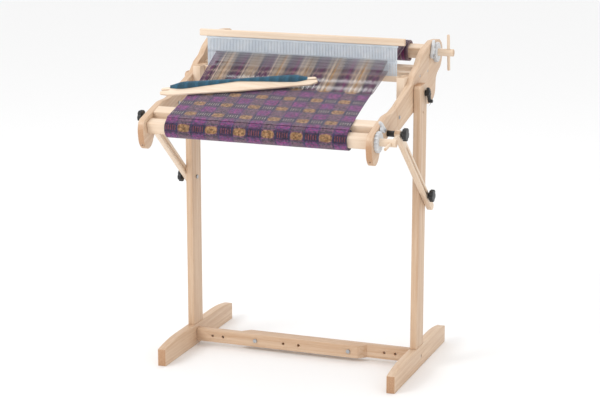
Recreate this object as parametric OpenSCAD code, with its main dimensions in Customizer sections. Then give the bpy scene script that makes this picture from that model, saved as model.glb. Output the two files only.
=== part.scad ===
// Floor-standing folding rigid heddle loom on a trestle stand, with a piece of weaving on it.
// X runs along the beams, to the weaver's right. Y runs to the back. Z is up. Millimetres.

/* [Stand] */
// Distance between the outer faces of the two feet
stand_w = 810; // [700:5:1100]
// Length of a foot, front to back
foot_len = 575; // [500:5:700]
// Thickness of a foot
foot_t = 27.5; // [24:0.5:36]
// Height of a foot at its middle
foot_h = 70; // [60:1:90]
// Height of a foot at its ends
foot_end_h = 56; // [40:1:58]
// Width of a post, front to back
post_w = 74; // [60:1:90]
// Thickness of a post
post_t = 22; // [18:1:26]
// Height of the top of a post above the floor
post_top = 935; // [850:5:1000]
// Height of a brace bar
brace_h = 43; // [34:1:50]
// Thickness of a brace bar
brace_t = 24; // [20:1:27]
// Length of a brace bar
brace_len = 600; // [560:5:700]

/* [Loom] */
// Slope of the loom, front low
tilt_deg = 16; // [8:1:24]
// Height of the tilt bolt above the floor
pivot_z = 905; // [880:5:910]
// Thickness of the side boards of the loom
side_t = 20; // [16:1:24]
// Distance along the loom from the tilt bolt to the cloth beam
cloth_beam_reach = 431; // [400:1:470]
// Distance along the loom from the tilt bolt to the warp beam
warp_beam_reach = 209; // [190:1:235]
// Side of the square of a beam
beam_w = 38; // [32:1:42]
// Diameter of the round ends of a beam
shaft_d = 24; // [18:1:30]
// Outer diameter of a ratchet wheel
ratchet_d = 66; // [56:1:72]
// Length of the handle dowel of a beam
handle_len = 118; // [90:1:130]
// Diameter of the handle dowel
handle_d = 9.5; // [8:0.5:12]

/* [Struts] */
// Distance along the loom from the cloth beam back to the bolt at the top of a strut
strut_back = 103; // [95:1:125]
// Width of a strut
strut_w = 25; // [22:1:32]
// Thickness of a strut
strut_t = 18; // [14:1:22]
// Length of a strut past its lower bolt
strut_tail = 88; // [70:1:120]
// Diameter of the bolts
bolt_d = 8; // [6:1:9]
// Diameter of a hand knob
knob_d = 40; // [34:1:46]

/* [Reed] */
// Length of the bar on top of the reed
reed_len = 695; // [600:1:705]
// Width of the comb of the reed
comb_w = 650; // [560:1:655]
// Height of the reed over its two bars
reed_h = 137; // [125:1:150]

/* [Weaving] */
// Width of the cloth and the warp
web_w = 590; // [400:5:600]
// Radius of the cloth wound on the cloth beam
cloth_roll_r = 33; // [31:0.5:34]
// Radius of the warp wound on the warp beam
warp_roll_r = 35; // [31:0.5:38]
// Length of woven cloth between the cloth beam and the last weft
woven_len = 245; // [200:5:270]
// Length of the shuttle
shuttle_len = 500; // [400:5:560]

/* [Hidden] */
$fn = 48;

// Colours
birch = "#d8bb98";
birch_light = "#f0dcbc";
black = "#1c1c1e";
grey = "#c9cbcd";
steel = "#8a8c90";

// Clearances
run_gap = 0.06;   // radial, of a shaft in its hole
face_gap = 0.5;   // between faces that slide past each other
soft_gap = 0.6;   // around cloth and yarn
bolt_gap = 0.5;   // radial, of a bolt in a drilled hole
side_clear = 1.25;   // from a post to the side board inside it and to the strut outside it

// Stand
post_out = stand_w / 2 - (foot_t - post_t) / 2;
post_in = post_out - post_t;
post_y = -7;
post_nose = 14;
brace_z = 13;
mitre = brace_t + 1;
brace_in = stand_w / 2 - foot_t;
brace_reach = brace_len - brace_in;
hole_d = 9;
bolt_head_d = 13;
bolt_head_h = 4;
foot_screw_d = 6;
foot_head_d = 12;
foot_counterbore = 14;
foot_screw_len = foot_h + 34;
end_screw_d = 6;
end_screw_len = 48;
end_head_in = 6;
nut_t = 8;
nut_d = 14;
washer_t = 1.5;
washer_d = 18;
spare_hole_down = 60;
// Holes along a brace bar from the middle of the stand: joining bolts at both ends of the lap,
// and spare pairs that make the stand wider
join_x = brace_reach - 58;
brace_holes = [-join_x, join_x - 154, join_x - 100, join_x, join_x + 117, join_x + 155];

// Loom
side_out = post_in - side_clear;
side_in = side_out - side_t;
pivot_y = 10;
// The half-lap where the two halves of a side join, and its pin
seam_out = 206 - cloth_beam_reach;
seam_in = seam_out + 40;
fold_y = (seam_out + seam_in) / 2;
fold_up = 12;
fold_pin_d = 6;
cloth_beam_up = 41;
warp_beam_up = 46;
ratchet_t = 11;
teeth = 16;
tooth_h = 4.5;
shaft_end = side_out + 62;
handle_x = side_out + 45;
cloth_handle_deg = -8;
warp_handle_deg = 80;
// Pawls: pivot from the beam's axis, along the loom and up
pawl_pivot = [56, 12];
pawl_off_deg = 12;
pawl_d = 17;
pawl_t = 8;
pawl_screw_d = 5;
pawl_screw_in = 12;
pawl_head_d = 10;
pawl_head_h = 3;
// Cross boards: place along the loom, height, thickness and depth of each
front_at = [59 - cloth_beam_reach, 55, 42, 32];
middle_at = [34, 41, 18, 24];
rear_at = [warp_beam_reach - 91, 20, 18, 30];
board_screw_in = 9;
board_screw_d = 4;
board_head_d = 8;
board_screw_len = 45;
// Wing knob of the tilt bolt
wing_len = 46;
wing_deg = -65;
wing_hub_d = 20;
wing_t = 9;

// Struts
strut_in = post_out + side_clear;
strut_out = strut_in + strut_t;
strut_up = 18;
strut_reach = cloth_beam_reach - strut_back;   // from the tilt bolt to the bolt at a strut's top
strut_along = -sqrt(pow(strut_reach, 2) - pow(strut_up, 2));
top_y = pivot_y + strut_along * cos(tilt_deg) - strut_up * sin(tilt_deg);
top_z = pivot_z + strut_along * sin(tilt_deg) + strut_up * cos(tilt_deg);
low_y = post_y;
low_z = pivot_z - sqrt(pow(strut_reach, 2) - pow(pivot_y - low_y, 2));
strut_deg = atan2(low_z - top_z, low_y - top_y);
strut_span = norm([low_y - top_y, low_z - top_z]);
slot_start = 84;
slot_end = strut_span + 26;
spacer_d = 19;
knob_stem = 7;
knob_stem_d = 17;
knob_t = 13;
knob_lobes = 5;
knob_skin = 4;
knob_face = strut_out + face_gap + knob_stem + knob_t;

// Reed
reed_y = -35;
reed_z = pivot_z + 37;
bar_h = 22;
bar_t = 14;
low_bar_h = 18;
low_bar_t = 11;
comb_t = 3;
low_bar_reach = side_in - 14;
// Grooved blocks that hold the ends of the reed: width, and reach from the reed's bottom bar
guide_w = 26;
guide_front = 40;
guide_back = 32;
guide_up = 20;
guide_down = 78;

// Weaving: heights follow the straight line of the warp from roll to roll
web_t = 2;
beam_dy = (cloth_beam_reach + warp_beam_reach) * cos(tilt_deg) - (warp_beam_up - cloth_beam_up) * sin(tilt_deg);
beam_dz = (cloth_beam_reach + warp_beam_reach) * sin(tilt_deg) + (warp_beam_up - cloth_beam_up) * cos(tilt_deg);
cloth_y = pivot_y - cloth_beam_reach * cos(tilt_deg) - cloth_beam_up * sin(tilt_deg);
cloth_z = pivot_z - cloth_beam_reach * sin(tilt_deg) + cloth_beam_up * cos(tilt_deg);
warp_y = cloth_y + beam_dy;
warp_z = cloth_z + beam_dz;
web_deg = atan2(beam_dz, beam_dy) + asin((warp_roll_r - cloth_roll_r) / norm([beam_dy, beam_dz]));
web_y0 = cloth_y - (cloth_roll_r + soft_gap) * sin(web_deg);
web_z0 = cloth_z + (cloth_roll_r + soft_gap) * cos(web_deg);
web_len = sqrt(pow(norm([beam_dy, beam_dz]), 2) - pow(warp_roll_r - cloth_roll_r, 2));
reed_at = (reed_y - web_y0) / cos(web_deg);
shed_h = 33;
thread_gap = 8.5;   // clear of the reed's bars, each way
apex_gap = 14;      // where the two layers of the warp part

// Shuttle: its middle is this far along the web; its left end lies on the cloth and its right
// end on the raised warp
shuttle_deg = 15;
shuttle_lift_deg = 1;
shuttle_roll_deg = 20;   // the yarn under its back edge props it up
shuttle_front = 24;
shuttle_peak = 22;
shuttle_x = -136;
shuttle_reach = woven_len - 35;
shuttle_t = 7;
fork = 30;

// The whole object stands with its footprint's middle at the origin
handle_slope = tilt_deg + cloth_handle_deg;
front_reach = -cloth_y + handle_len / 2 * cos(handle_slope) + handle_d / 2 * abs(sin(handle_slope));
back_reach = foot_len / 2;
centre_y = (front_reach - back_reach) / 2;

// Turns a drawing in the side view, Y across and Z up, into a plate from x0 that is t thick
module plate(x0, t) {
    translate([x0, 0, 0]) rotate([90, 0, 90]) linear_extrude(t) children();
}

// A round bar along X from x0 to x1 at y, z
module rod(x0, x1, y, z, d) {
    translate([x0, y, z]) rotate([0, 90, 0]) cylinder(h = x1 - x0, d = d);
}

// Puts children in the loom's own frame: the tilt bolt at the origin, Y along the loom
module on_loom() {
    translate([0, pivot_y, pivot_z]) rotate([tilt_deg, 0, 0]) children();
}

// Puts children on a strut: its top bolt at the origin, Y along the strut
module on_strut() {
    translate([0, top_y, top_z]) rotate([strut_deg, 0, 0]) children();
}

// Puts children on the warp line: Y along the warp from the cloth roll, Z away from it
module on_web() {
    translate([0, web_y0, web_z0]) rotate([web_deg, 0, 0]) children();
}

module whole() {
    translate([0, centre_y, 0]) children();
}

// Left and right of the middle plane
module sided(side) {
    if (side > 0) children();
    else mirror([1, 0, 0]) children();
}

function unit(v) = v / norm(v);

// The points of a round corner of radius r at b, between the edges to a and c
function corner(a, b, c, r) = let (
        u = unit(a - b),
        v = unit(c - b),
        angle = acos(max(-1, min(1, u * v))),
        reach = min(r / tan(angle / 2), 0.45 * norm(a - b), 0.45 * norm(c - b)),
        rr = reach * tan(angle / 2),
        centre = b + unit(u + v) * rr / sin(angle / 2),
        from = b + u * reach - centre,
        to = b + v * reach - centre,
        a0 = atan2(from[1], from[0]),
        turn = (atan2(to[1], to[0]) - a0 + 540) % 360 - 180,
        steps = max(1, ceil(abs(turn) / 15)))
    [for (i = [0:steps]) centre + rr * [cos(a0 + turn * i / steps), sin(a0 + turn * i / steps)]];

// A closed outline with every corner rounded to radius r, where its edges leave room
function rounded(pts, r) = let (n = len(pts))
    [for (i = [0:n - 1]) each corner(pts[(i + n - 1) % n], pts[i], pts[(i + 1) % n], r)];

// ---- Stand ----

module foot(side) {
    half = foot_len / 2;
    rise = foot_h - foot_end_h;
    run = foot_len * 0.24;
    color(birch) sided(side) difference() {
        plate(stand_w / 2 - foot_t, foot_t) polygon(concat(
            [[-half, 0], [half, 0], [half, foot_end_h]],
            [for (i = [1:8]) let (s = i / 8) [half - run * s, foot_end_h + rise * (2 * s - s * s)]],
            [for (i = [8:-1:1]) let (s = i / 8) [-half + run * s, foot_end_h + rise * (2 * s - s * s)]],
            [[-half, foot_end_h]]));
        for (dy = [-1, 1] * post_w / 4) translate([post_out - post_t / 2, post_y + dy, -1])
            cylinder(h = foot_h + 2, d = foot_screw_d + 2 * run_gap);
        for (dy = [-1, 1] * post_w / 4) translate([post_out - post_t / 2, post_y + dy, -1])
            cylinder(h = foot_counterbore + 1, d = foot_head_d + 2 * bolt_gap);
        end_screw(side, run_gap, 1);
    }
}

module post(side) {
    color(birch) sided(side) difference() {
        plate(post_in, post_t) union() {
            translate([post_y - post_w / 2, foot_h]) square([post_w, post_top - foot_h - post_nose]);
            translate([post_y - post_w / 2 + post_nose, foot_h])
                square([post_w - 2 * post_nose, post_top - foot_h]);
            for (s = [-1, 1])
                translate([post_y + s * (post_w / 2 - post_nose), post_top - post_nose]) circle(r = post_nose);
        }
        rod(post_in - 1, post_out + 1, pivot_y, pivot_z, bolt_d + 2 * bolt_gap);
        rod(post_in - 1, post_out + 1, low_y, low_z, bolt_d + 2 * bolt_gap);
        rod(post_in - 1, post_out + 1, post_y, pivot_z - spare_hole_down, hole_d);
        for (dy = [-1, 1] * post_w / 4) translate([post_out - post_t / 2, post_y + dy, foot_h - 1])
            cylinder(h = foot_screw_len - foot_h + foot_counterbore, d = foot_screw_d + 2 * run_gap);
    }
}

module foot_screws() {
    color(steel) for (side = [-1, 1], dy = [-1, 1] * post_w / 4)
        translate([side * (post_out - post_t / 2), post_y + dy, foot_counterbore - bolt_head_h]) {
            cylinder(h = bolt_head_h, d = foot_head_d);
            cylinder(h = foot_screw_len, d = foot_screw_d);
        }
}

module brace_bar(side) {
    y1 = post_y + side * brace_t;
    color(birch) sided(side) difference() {
        translate([0, 0, brace_z]) linear_extrude(brace_h)
            polygon([[-brace_reach, post_y], [brace_in, post_y], [brace_in, y1], [mitre - brace_reach, y1]]);
        for (x = brace_holes) across_brace(x, hole_d);
        end_screw(side, run_gap, 1);
    }
}

// A hole through both brace bars
module across_brace(x, d) {
    translate([x, post_y - brace_t - 1, brace_z + brace_h / 2]) rotate([-90, 0, 0])
        cylinder(h = 2 * brace_t + 2, d = d);
}

module brace_bolts() {
    color(steel) for (x = [-join_x, join_x]) translate([x, post_y - brace_t, brace_z + brace_h / 2])
        rotate([-90, 0, 0]) {
            translate([0, 0, -bolt_head_h]) cylinder(h = bolt_head_h, d = bolt_head_d);
            cylinder(h = 2 * brace_t + nut_t + 4, d = bolt_d);
        }
}

module brace_nuts() {
    color(steel) for (x = [-join_x, join_x]) translate([x, post_y + brace_t, brace_z + brace_h / 2])
        rotate([-90, 0, 0]) difference() {
            union() {
                cylinder(h = washer_t, d = washer_d);
                cylinder(h = nut_t, d = nut_d, $fn = 6);
            }
            translate([0, 0, -1]) cylinder(h = nut_t + 2, d = bolt_d + 2 * run_gap);
        }
}

// The screw that holds a foot on the end of its brace bar; gap and proud make its hole
module end_screw(side, gap = 0, proud = 0) {
    y = post_y + side * brace_t / 2;
    z = brace_z + brace_h / 2;
    rod(brace_in - end_screw_len - proud, stand_w / 2 - end_head_in, y, z, end_screw_d + 2 * gap);
    rod(stand_w / 2 - end_head_in, stand_w / 2 - end_head_in + bolt_head_h + 4 * proud, y, z, foot_head_d + 2 * gap);
}

module brace_end_screws() {
    color(steel) for (side = [-1, 1]) sided(side) end_screw(side);
}

// ---- Struts ----

module strut(side) {
    color(birch_light) sided(side) on_strut() difference() {
        plate(strut_in, strut_t) difference() {
            union() {
                circle(d = strut_w);
                translate([0, -strut_w / 2]) square([strut_span + strut_tail - strut_w / 2, strut_w]);
                translate([strut_span + strut_tail - strut_w / 2, 0]) circle(d = strut_w);
            }
            translate([slot_start, -bolt_d / 2 - bolt_gap]) square([slot_end - slot_start, bolt_d + 2 * bolt_gap]);
            for (y = [slot_start, slot_end]) translate([y, 0]) circle(d = bolt_d + 2 * bolt_gap);
        }
        rod(strut_in - 1, strut_out + 1, 0, 0, bolt_d + 2 * run_gap);
    }
}

// Tubes that hold the struts off the side boards, by the thickness of a post
module strut_spacers() {
    color(black) for (side = [-1, 1]) sided(side) on_strut() difference() {
        rod(side_out, strut_in - face_gap, 0, 0, spacer_d);
        rod(side_out - 1, strut_in, 0, 0, bolt_d + 2 * run_gap);
    }
}

module strut_pivot_bolts() {
    color(steel) for (side = [-1, 1]) sided(side) on_strut() {
        rod(side_in - bolt_head_h, side_in, 0, 0, bolt_head_d);
        rod(side_in - 1, knob_face - knob_skin - 1, 0, 0, bolt_d);
    }
}

module strut_lower_bolts() {
    color(steel) for (side = [-1, 1]) sided(side) {
        rod(post_in - bolt_head_h, post_in, low_y, low_z, bolt_head_d);
        rod(post_in - 1, knob_face - knob_skin - 1, low_y, low_z, bolt_d);
    }
}

// A lobed hand knob on a bolt along X, its stem against the piece it clamps
module hand_knob() {
    color(black) difference() {
        union() {
            rod(strut_out + face_gap, knob_face - knob_t + 1, 0, 0, knob_stem_d);
            plate(knob_face - knob_t, knob_t) difference() {
                circle(d = knob_d);
                for (i = [0:knob_lobes - 1]) rotate(i * 360 / knob_lobes + 90)
                    translate([knob_d / 2 + 5, 0]) circle(d = 16);
            }
        }
        rod(strut_out, knob_face - knob_skin, 0, 0, bolt_d + 2 * run_gap);
    }
}

module strut_top_knob(side) {
    sided(side) translate([0, top_y, top_z]) hand_knob();
}

module strut_low_knob(side) {
    sided(side) translate([0, low_y, low_z]) hand_knob();
}

// ---- Tilt pivot ----

module tilt_bolts() {
    color(steel) for (side = [-1, 1]) sided(side) {
        rod(side_in - bolt_head_h, side_in - face_gap, pivot_y, pivot_z, bolt_head_d);
        rod(side_in - 1, post_out + wing_len / 4, pivot_y, pivot_z, bolt_d);
    }
}

// A wing knob on the outside of the post: a hub with two arms, set low at the back
module tilt_knob(side) {
    x0 = post_out + face_gap;
    color(black) sided(side) translate([0, pivot_y, pivot_z]) rotate([wing_deg, 0, 0]) difference() {
        union() {
            rod(x0, x0 + 16, 0, 0, wing_hub_d);
            plate(x0 + 6, wing_t) hull() {
                circle(d = 17);
                translate([wing_len - 16, 0]) circle(d = 13);
            }
            plate(x0 + 6, wing_t) hull() {
                circle(d = 17);
                translate([-14, 0]) circle(d = 12);
            }
            rod(x0 + 6, x0 + 21, wing_len - 15, 0, 11);
        }
        rod(x0 - 1, x0 + 14, 0, 0, bolt_d + 2 * run_gap);
    }
}

// ---- Loom frame ----

// Outline of a whole side of the loom, in the loom's own frame. Its front end is drawn from the
// cloth beam, its back end from the warp beam and its middle from the tilt bolt
module side_outline() {
    front = [for (at = [[216, 51], [169, 55], [110, 71], [-31, 74], [-47, 44], [-51, 4], [-35, -26],
        [-1, -26], [27, 2], [131, 4], [176, -22], [216, -30]]) at - [cloth_beam_reach, 0]];
    back = [for (at = [[-105, -92], [-51, -96], [-25, -80], [-11, -34], [53, -26], [83, 6], [85, 40],
        [59, 66], [-13, 92], [-99, 100]]) at + [warp_beam_reach, 0]];
    polygon(rounded(concat(front, [[-72, -40], [60, -60]], back,
        [[62, 92], [26, 76], [-16, 72], [-60, 53]]), 40));
}

module side_holes() {
    rod(side_in - 1, side_out + 1, strut_along, strut_up, bolt_d + 2 * run_gap);
    rod(side_in - 1, side_out + 1, -cloth_beam_reach, cloth_beam_up, shaft_d + 2 * run_gap);
    rod(side_in - 1, side_out + 1, warp_beam_reach, warp_beam_up, shaft_d + 2 * run_gap);
    rod(side_in - 1, side_out + 1, 0, 0, bolt_d + 2 * run_gap);
    rod(side_in - 1, side_out + 1, fold_y, fold_up, fold_pin_d + 2 * run_gap);
}

// The blind hole of a pawl's screw; only the right side boards have one
module pawl_hole(reach, up, way) {
    rod(side_out - pawl_screw_in - 1, side_out + 1, reach + way * pawl_pivot[0], up + pawl_pivot[1],
        pawl_screw_d + 2 * run_gap);
}

// The front half of a side: its tongue is the inner half of the lap
module front_side(side) {
    color(birch) sided(side) on_loom() difference() {
        union() {
            plate(side_in, side_t) intersection() {
                side_outline();
                translate([-600, -200]) square([600 + seam_out, 400]);
            }
            plate(side_in, side_t / 2) intersection() {
                side_outline();
                translate([seam_out - 1, -200]) square([seam_in - seam_out + 1, 400]);
            }
        }
        side_holes();
        board_screw_holes(front_at);
        if (side > 0) pawl_hole(-cloth_beam_reach, cloth_beam_up, 1);
        nose_screw();
    }
}

// The back half of a side: its tongue is the outer half of the lap
module rear_side(side) {
    color(birch) sided(side) on_loom() difference() {
        union() {
            plate(side_in, side_t) intersection() {
                side_outline();
                translate([seam_in, -200]) square([600, 400]);
            }
            plate(side_in + side_t / 2, side_t / 2) intersection() {
                side_outline();
                translate([seam_out, -200]) square([seam_in - seam_out + 1, 400]);
            }
        }
        side_holes();
        board_screw_holes(middle_at);
        board_screw_holes(rear_at);
        if (side > 0) pawl_hole(warp_beam_reach, warp_beam_up, -1);
    }
}

module fold_pins() {
    color(steel) for (side = [-1, 1]) sided(side) on_loom() {
        rod(side_in - 2.5, side_in, fold_y, fold_up, 11);
        rod(side_in - 1, side_out + 1, fold_y, fold_up, fold_pin_d);
        rod(side_out, side_out + 2.5, fold_y, fold_up, 11);
    }
}

// Where a cross board's screws are, along the loom
function screw_y(at) = at[0] + at[2] / 2 - board_screw_in;

// A board across the loom, at [place along the loom, height, thickness, depth]
module cross_board(at) {
    color(birch_light) on_loom() difference() {
        translate([-side_in, at[0] - at[2] / 2, at[1] - at[3] / 2]) cube([2 * side_in, at[2], at[3]]);
        for (side = [-1, 1]) sided(side)
            rod(side_in - board_screw_len - 2, side_in + 1, screw_y(at), at[1], board_screw_d + 2 * run_gap);
    }
}

module board_screw_holes(at) {
    rod(side_in - 1, side_out + 1, screw_y(at), at[1], board_screw_d + 2 * run_gap);
    rod(side_out - 3, side_out + 1, screw_y(at), at[1], board_head_d + 1);
}

module board_screws() {
    color(steel) for (side = [-1, 1], at = [front_at, middle_at, rear_at]) sided(side) on_loom() {
        rod(side_out - board_screw_len - side_t + 5, side_out - 2.9, screw_y(at), at[1], board_screw_d);
        rod(side_out - 3, side_out - 0.5, screw_y(at), at[1], board_head_d);
    }
}

// The small hole in the front edge of a side, near its bottom
module nose_screw() {
    translate([(side_in + side_out) / 2, -cloth_beam_reach - 59, -4]) rotate([-90, 0, 0]) cylinder(h = 36, d = 5);
}

// ---- Reed and its guides ----

// A grooved block on the inside of a side board, which holds an end of the reed upright
module reed_guide(side) {
    color(birch_light) sided(side) difference() {
        translate([side_in - guide_w, reed_y - guide_front, reed_z - guide_down])
            cube([guide_w, guide_front + guide_back, guide_up + guide_down]);
        translate([side_in - guide_w - 1, reed_y - low_bar_t / 2 - face_gap, reed_z - guide_down - 1])
            cube([low_bar_reach + face_gap - side_in + guide_w + 1, low_bar_t + 2 * face_gap, guide_up + guide_down + 2]);
    }
}

module reed_top_bar() {
    color(birch_light) translate([-reed_len / 2, reed_y - bar_t / 2, reed_z + reed_h - bar_h])
        rotate([90, 0, 90]) linear_extrude(reed_len) polygon(rounded([[0, 0], [bar_t, 0], [bar_t, bar_h], [0, bar_h]], 3));
}

module reed_bottom_bar() {
    color(birch_light) translate([-low_bar_reach, reed_y - low_bar_t / 2, reed_z])
        rotate([90, 0, 90]) linear_extrude(2 * low_bar_reach)
            polygon(rounded([[0, 0], [low_bar_t, 0], [low_bar_t, low_bar_h], [0, low_bar_h]], 2));
}

module reed_comb() {
    color("#dfe6ee") translate([-comb_w / 2, reed_y - comb_t / 2, reed_z + low_bar_h])
        cube([comb_w, comb_t, reed_h - low_bar_h - bar_h]);
}

// ---- Beams ----

module at_beam(reach, up) {
    on_loom() translate([0, reach, up]) children();
}

// A square beam with round ends, which carries the cloth or the warp
module beam(reach, up) {
    half = beam_w / 2;
    color(birch_light) at_beam(reach, up) difference() {
        union() {
            plate(face_gap - side_in, 2 * (side_in - face_gap))
                polygon(rounded([[-half, -half], [half, -half], [half, half], [-half, half]], 5));
            rod(-side_out - 3, shaft_end, 0, 0, shaft_d);
        }
        rotate([reach < 0 ? cloth_handle_deg : warp_handle_deg, 0, 0])
            translate([handle_x, -shaft_d, 0]) rotate([-90, 0, 0]) cylinder(h = 2 * shaft_d, d = handle_d);
    }
}

module beam_handle(reach, up, angle) {
    color(birch) at_beam(reach, up) rotate([angle, 0, 0])
        translate([handle_x, -handle_len / 2, 0]) rotate([-90, 0, 0]) cylinder(h = handle_len, d = handle_d);
}

// A saw-toothed wheel fixed on the right end of a beam
module ratchet(reach, up, way) {
    r = ratchet_d / 2;
    color(grey) at_beam(reach, up) scale([1, way, 1]) difference() {
        plate(side_out + face_gap, ratchet_t) polygon([for (i = [0:teeth - 1]) each [
            [r * cos(i * 360 / teeth), r * sin(i * 360 / teeth)],
            [(r - tooth_h) * cos(i * 360 / teeth + 2), (r - tooth_h) * sin(i * 360 / teeth + 2)]]]);
        rod(side_out, side_out + ratchet_t + 2, 0, 0, shaft_d);
    }
}

// A pawl, drawn swung off its wheel so that the wheel is free; swung back, its nose sits in a
// tooth gap. way is 1 behind the wheel, -1 in front of it
module pawl(reach, up, way) {
    r = ratchet_d / 2;
    nose = 360 / teeth;
    pivot = [0, pawl_pivot[0], pawl_pivot[1]];
    color(grey) at_beam(reach, up) scale([1, way, 1]) translate(pivot) rotate([-pawl_off_deg, 0, 0])
        translate(-pivot) difference() {
        plate(side_out + face_gap + 1.5, pawl_t) union() {
            translate(pawl_pivot) circle(d = pawl_d);
            polygon(rounded([pawl_pivot + [2, -8], pawl_pivot + [6, 6], [r + 4, r + 6], [r - 14, r + 16], [r - 16, r + 9],
                [r + 1, r - 6], [(r + 0.8) * cos(nose + 16), (r + 0.8) * sin(nose + 16)],
                [(r - tooth_h + 1) * cos(nose + 5), (r - tooth_h + 1) * sin(nose + 5)],
                [(r + 1.5) * cos(nose + 2.5), (r + 1.5) * sin(nose + 2.5)]], 1.2));
        }
        translate(pivot) rod(side_out, side_out + pawl_t + 4, 0, 0, pawl_screw_d + 2 * run_gap);
    }
}

module pawl_screws() {
    color(steel) for (at = [[-cloth_beam_reach, cloth_beam_up, 1], [warp_beam_reach, warp_beam_up, -1]])
        at_beam(at[0], at[1]) translate([0, at[2] * pawl_pivot[0], pawl_pivot[1]]) {
            rod(side_out - pawl_screw_in, side_out + pawl_t + 3, 0, 0, pawl_screw_d);
            rod(side_out + pawl_t + 2.5, side_out + pawl_t + 2.5 + pawl_head_h, 0, 0, pawl_head_d);
        }
}

// Cloth or warp wound on a beam: a round sleeve over the square
module web_roll(reach, up, r, width, tint) {
    half = beam_w / 2;
    color(tint) at_beam(reach, up) difference() {
        rod(-width / 2, width / 2, 0, 0, 2 * r);
        plate(-width / 2 - 1, width + 2)
            polygon(rounded([[-half, -half], [half, -half], [half, half], [-half, half]], 5));
    }
}

// ---- Weaving ----

module web_plate(from, to, z0, z1) {
    on_web() plate(-web_w / 2, web_w) polygon([[from, z0], [to, z1], [to, z1 + web_t], [from, z0 + web_t]]);
}

module cloth_web() {
    color("#6b2f74") web_plate(0, woven_len, 0, 0);
}

// The threads in the reed's slots, straight from beam to beam
module slot_threads() {
    color("#7d5a86") {
        web_plate(woven_len, reed_at - thread_gap, 0, 0);
        web_plate(reed_at + thread_gap, web_len, 0, 0);
    }
}

// The threads in the reed's holes, raised at the reed to open the shed
module hole_threads() {
    hole_at = reed_at + shed_h * tan(web_deg);
    front_run = hole_at - woven_len;
    back_run = web_len - hole_at;
    color("#9a6f9c") {
        web_plate(woven_len + apex_gap, hole_at - thread_gap,
            shed_h * apex_gap / front_run, shed_h * (front_run - thread_gap) / front_run);
        web_plate(hole_at + thread_gap, web_len - apex_gap,
            shed_h * (back_run - thread_gap) / back_run, shed_h * apex_gap / back_run);
    }
}

// ---- Shuttle ----

module on_shuttle() {
    rise = shuttle_len / 2 * sin(shuttle_lift_deg);
    on_web() translate([shuttle_x, shuttle_reach, web_t + soft_gap + rise])
        rotate([0, 0, shuttle_deg]) rotate([0, -shuttle_lift_deg, 0])
        translate([0, -shuttle_front, 0]) rotate([shuttle_roll_deg, 0, 0])
        translate([0, shuttle_front, 0]) children();
}

// A flat stick with a forked notch at each end and a peak in the middle of one edge
module shuttle() {
    half = shuttle_len / 2;
    color(birch_light) on_shuttle() linear_extrude(shuttle_t) polygon(rounded([
        [-half, -12], [-half + 24, -20], [0, -shuttle_front], [half - 24, -20], [half, -12],
        [half, -2], [half - fork, -1], [half - fork, 3], [half, 4], [half - 8, 12],
        [half - 70, 14], [0, shuttle_peak], [-half + 70, 14], [-half + 8, 12], [-half, 4],
        [-half + fork, 3], [-half + fork, -1], [-half, -2]], 3));
}

// The yarn wound round the back edge of the shuttle, above and below it
module shuttle_yarn() {
    arm = shuttle_len / 2 - fork - 20;
    color("#2a6f86") on_shuttle() difference() {
        hull() for (s = [-1, 1]) {
            translate([s * (arm - 40), 8, shuttle_t / 2]) scale([4, 1.2, 0.95]) sphere(r = 10, $fn = 24);
            translate([s * arm / 3, 12, shuttle_t / 2]) scale([4, 1.5, 1.1]) sphere(r = 10, $fn = 24);
        }
        translate([-shuttle_len / 2, -shuttle_front, -soft_gap])
            cube([shuttle_len, shuttle_front + shuttle_peak + soft_gap, shuttle_t + 2 * soft_gap]);
    }
}

whole() foot(-1);  // foot_left
whole() foot(1);  // foot_right
whole() post(-1);  // post_left
whole() post(1);  // post_right
whole() brace_bar(-1);  // brace_front
whole() brace_bar(1);  // brace_rear
whole() brace_bolts();
whole() brace_nuts();
whole() brace_end_screws();
whole() foot_screws();
whole() strut(-1);  // strut_left
whole() strut(1);  // strut_right
whole() strut_spacers();
whole() strut_pivot_bolts();
whole() strut_top_knob(-1);  // strut_top_knob_left
whole() strut_top_knob(1);  // strut_top_knob_right
whole() strut_lower_bolts();
whole() strut_low_knob(-1);  // strut_low_knob_left
whole() strut_low_knob(1);  // strut_low_knob_right
whole() tilt_bolts();
whole() tilt_knob(-1);  // tilt_knob_left
whole() tilt_knob(1);  // tilt_knob_right
whole() front_side(-1);  // front_side_left
whole() front_side(1);  // front_side_right
whole() rear_side(-1);  // rear_side_left
whole() rear_side(1);  // rear_side_right
whole() fold_pins();
whole() cross_board(front_at);  // front_board
whole() cross_board(middle_at);  // middle_board
whole() cross_board(rear_at);  // rear_board
whole() board_screws();
whole() reed_guide(-1);  // reed_guide_left
whole() reed_guide(1);  // reed_guide_right
whole() reed_top_bar();
whole() reed_bottom_bar();
whole() reed_comb();
whole() beam(-cloth_beam_reach, cloth_beam_up);  // cloth_beam
whole() ratchet(-cloth_beam_reach, cloth_beam_up, 1);  // cloth_ratchet
whole() beam_handle(-cloth_beam_reach, cloth_beam_up, cloth_handle_deg);  // cloth_handle
whole() pawl(-cloth_beam_reach, cloth_beam_up, 1);  // cloth_pawl
whole() web_roll(-cloth_beam_reach, cloth_beam_up, cloth_roll_r, web_w, "#6b2f74");  // cloth_roll
whole() beam(warp_beam_reach, warp_beam_up);  // warp_beam
whole() ratchet(warp_beam_reach, warp_beam_up, -1);  // warp_ratchet
whole() beam_handle(warp_beam_reach, warp_beam_up, warp_handle_deg);  // warp_handle
whole() pawl(warp_beam_reach, warp_beam_up, -1);  // warp_pawl
whole() web_roll(warp_beam_reach, warp_beam_up, warp_roll_r, web_w, "#5a3566");  // warp_roll
whole() pawl_screws();
whole() cloth_web();
whole() slot_threads();
whole() hole_threads();
whole() shuttle();
whole() shuttle_yarn();
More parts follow.
